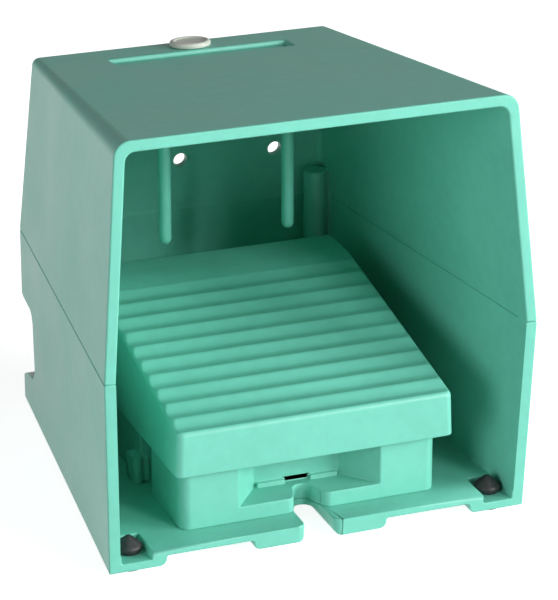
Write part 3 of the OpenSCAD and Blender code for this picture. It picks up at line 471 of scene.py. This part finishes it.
def skirt_row(z, inset):
    """Row of the skirt at a height: the tread's outline widened by the draft, drawn in by an inset."""
    wide = half_width(z) / half_width(outline[:, 2])
    return np.stack([outline[:, 0] * wide - away[:, 0] * inset, outline[:, 1] - away[:, 1] * inset,
                     z + 0 * outline[:, 0]], -1)


foot = np.linspace(0, np.pi / 2, 5)
hem = 0.0006
skirt = [outline] + [skirt_row(outline[:, 2] + (pedal_low.z + hem - outline[:, 2]) * t, 0) for t in (0.3, 0.65)]
skirt += [skirt_row(pedal_low.z + hem * (1 - np.sin(f)), hem * (1 - np.cos(f))) for f in foot]
lining = np.stack([xs * 0.955, yy * 0.958 - 0.0008, tread_line(yy) - 0.0033], -1)
skirt += [skirt_row(pedal_low.z, 0.0022), rim_of(lining)]
pedal_skin = skin_of("pedal_skin", [np.stack(skirt)], moulding_green, flat=[tread, lining], sharp=70)

bm = bmesh.new()
bm.from_mesh(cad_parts["pedal"].data)
bmesh.ops.remove_doubles(bm, verts=bm.verts, dist=2e-6)


def is_outer(p):
    """Whether a point lies on the outer side of the pedal's wall or on its lower rim."""
    return (abs(p.x) > half_width(p.z) - 0.0022 or not pedal_low.y + 0.0022 < p.y < pedal_high.y - 0.0022
            or p.z > tread_line(p.y) - 0.0026 or p.z < pedal_low.z + 0.0001)


bmesh.ops.delete(bm, geom=[f for f in bm.faces if is_outer(f.calc_center_median())], context="FACES")
ribs_mesh = bpy.data.meshes.new("pedal_ribs")
bm.to_mesh(ribs_mesh)
bm.free()
ribs_mesh.materials.append(moulding_green)
pedal_ribs = bpy.data.objects.new("pedal_ribs", ribs_mesh)
bpy.context.scene.collection.objects.link(pedal_ribs)
for piece in (pedal_skin, pedal_ribs):
    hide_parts("pedal")
    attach(piece, "pedal")

# ---------------------------------------------------------------- Pin, clips and return spring
# A bright steel pin through the ears of the case and the skirts of the pedal, kept by a clip at each
# end. A strong coil spring between the lid and the pedal's cup lifts the pedal.
pin_low, pin_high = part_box("hinge_pin")
pin_r, pin_half = (pin_high.z - pin_low.z) / 2, pin_high.x
groove = (pin_half - 0.0021, pin_half - 0.0013)
pin_rows = eased([(0, -pin_half), (pin_r - 0.0004, -pin_half), (pin_r, -pin_half + 0.0004),
                  (pin_r, -groove[1]), (pin_r - 0.0005, -groove[1]), (pin_r - 0.0005, -groove[0]),
                  (pin_r, -groove[0]), (pin_r, groove[0]), (pin_r - 0.0005, groove[0]),
                  (pin_r - 0.0005, groove[1]), (pin_r, groove[1]), (pin_r, pin_half - 0.0004),
                  (pin_r - 0.0004, pin_half), (0, pin_half)], 0.0001, 2)
turned_steel = metal("turned_steel", (0.6, 0.6, 0.6), 0.28, streak=(8, 1, 1))
pin_mid = (0, (pin_low.y + pin_high.y) / 2, (pin_low.z + pin_high.z) / 2)
pin = skin_of("turned_hinge_pin", [turned(pin_rows, pin_mid, (1, 0, 0))], turned_steel, sharp=30)
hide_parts("hinge_pin")
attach(pin, "housing")
finish_node("pin_clips", black_zinc)

pedal_spring = coil_spring("pedal_return_spring", "return_spring", 0.0018, 4.5)
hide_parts("return_spring")
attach(pedal_spring, "housing")

# ---------------------------------------------------------------- Hood
# The upper half of the guard, open at the front, moulded in the same green plastic. Two screws come up
# into it through the base. Its roof has a slot, and a hole closed by a pale push-in plug.
eased_copy("hood_shell", 0.0007, "housing", moulding_green, hidden=in_seam)
eased_copy("hood_screws", 0.00015, "housing", black_zinc)

plug_low, plug_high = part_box("roof_plug")
lean = math.atan(0.097)
up = np.array([0, math.sin(lean), math.cos(lean)])
plug_mid = np.array([0, (plug_low.y + plug_high.y) / 2, (plug_low.z + plug_high.z) / 2])
head_r = plug_high.x
plug_deep = 0.0062
plug_rows = eased([(0, -0.0034), (0.0038, -0.0034), (0.0038, -plug_deep), (0.0044, -plug_deep),
                   (0.0049, -plug_deep + 0.001), (0.0049, 0), (head_r, 0), (head_r, 0.0014),
                   (head_r - 0.0006, 0.002), (head_r - 0.0016, 0.002), (head_r - 0.0022, 0.0014), (0, 0.0014)],
                  0.0004)
plug_base = plug_mid + up * ((plug_deep - 0.002) / 2)
plug_pale = moulded_plastic("plug_pale", (0.62, 0.66, 0.58), 0.3, mottle=0.04)
plug = skin_of("push_in_plug", [turned(plug_rows, plug_base, up)], plug_pale, sharp=50)
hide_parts("roof_plug")
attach(plug, "housing")

# ---------------------------------------------------------------- Studio
# A white table in a white room. Two big softboxes stand low on both sides of the front, and two smaller
# ones light the tread from above the camera.
world = bpy.data.worlds.new("white_room")
bpy.context.scene.world = world
world.use_nodes = True
tree = world.node_tree
path = tree.nodes.new("ShaderNodeLightPath")
strength = None
for ray, level in (("Is Camera Ray", 1.0), ("Is Transmission Ray", 1.0), ("Is Glossy Ray", 0.4)):
    part = tree.nodes.new("ShaderNodeMath")
    part.operation = "MULTIPLY"
    part.inputs[1].default_value = level
    tree.links.new(path.outputs[ray], part.inputs[0])
    most = tree.nodes.new("ShaderNodeMath")
    most.operation = "MAXIMUM"
    most.inputs[1].default_value = 0.03
    tree.links.new(part.outputs[0], most.inputs[0])
    if strength is not None:
        tree.links.new(strength.outputs[0], most.inputs[1])
    strength = most
back = tree.nodes["Background"]
back.inputs["Color"].default_value = (1, 1, 1, 1)
tree.links.new(strength.outputs[0], back.inputs["Strength"])

white_table = bpy.data.materials.new("white_table")
tree, shader, add = nodes_of(white_table)
shader.inputs["Base Color"].default_value = (0.8, 0.8, 0.8, 1)
shader.inputs["Roughness"].default_value = 0.8
shader.inputs["Specular IOR Level"].default_value = 0.0
path = add("ShaderNodeLightPath")
more = add("ShaderNodeMath", {0: path.outputs["Is Glossy Ray"], 1: path.outputs["Is Transmission Ray"]},
           operation="MAXIMUM")
seen = add("ShaderNodeMath", {0: path.outputs["Is Camera Ray"], 1: more.outputs[0]}, operation="MAXIMUM")
shine = add("ShaderNodeMapRange", {"Value": seen.outputs[0], "To Min": 0.0, "To Max": 0.86})
shader.inputs["Emission Color"].default_value = (1, 1, 1, 1)
tree.links.new(shine.outputs["Result"], shader.inputs["Emission Strength"])

table = bpy.data.meshes.new("table_top")
table.from_pydata([(-4, -4, -0.0002), (4, -4, -0.0002), (4, 4, -0.0002), (-4, 4, -0.0002)], [],
                  [(0, 1, 2, 3)])
table.materials.append(white_table)
table_top = bpy.data.objects.new("table_top", table)
bpy.context.scene.collection.objects.link(table_top)


def aimed(obj, target, distance, azimuth, elevation):
    """Puts an object on a sphere round the target, at target + distance·(sin a cos e, -cos a cos e, sin e),
    and turns its -Z to the target."""
    from mathutils import Vector
    a, e = math.radians(azimuth), math.radians(elevation)
    way = Vector((math.sin(a) * math.cos(e), -math.cos(a) * math.cos(e), math.sin(e)))
    obj.location = Vector(target) + way * distance
    obj.rotation_euler = way.to_track_quat("Z", "Y").to_euler()
    bpy.context.scene.collection.objects.link(obj)


def softbox(name, azimuth, elevation, size, level, distance=2.4):
    """Square softbox. A level of 1 lights a surface that faces it so that it looks as light as its colour:
    power = level · pi² · distance²."""
    lamp = bpy.data.lights.new(name, "AREA")
    lamp.shape, lamp.size = "SQUARE", size
    lamp.energy = level * math.pi ** 2 * distance ** 2
    aimed(bpy.data.objects.new(name, lamp), (0, 0, 0.07), distance, azimuth, elevation)


softbox("key_right", 55, 10, 1.2, 1.31)
softbox("front_top", 25, 25, 0.5, 0.38)
softbox("fill_left", -62, 10, 1.2, 0.38)
softbox("high_front", 15, 50, 0.8, 0.07)

lens = bpy.data.cameras.new("view")
lens.lens, lens.sensor_width, lens.sensor_fit = 184.68, 36, "AUTO"
lens.clip_start, lens.clip_end = 0.05, 50
camera = bpy.data.objects.new("view", lens)
aimed(camera, (0.0128, -0.0040, 0.0645), 1.145, -21.06, 21.83)
bpy.context.scene.camera = camera
bpy.context.scene.view_settings.view_transform = "Standard"
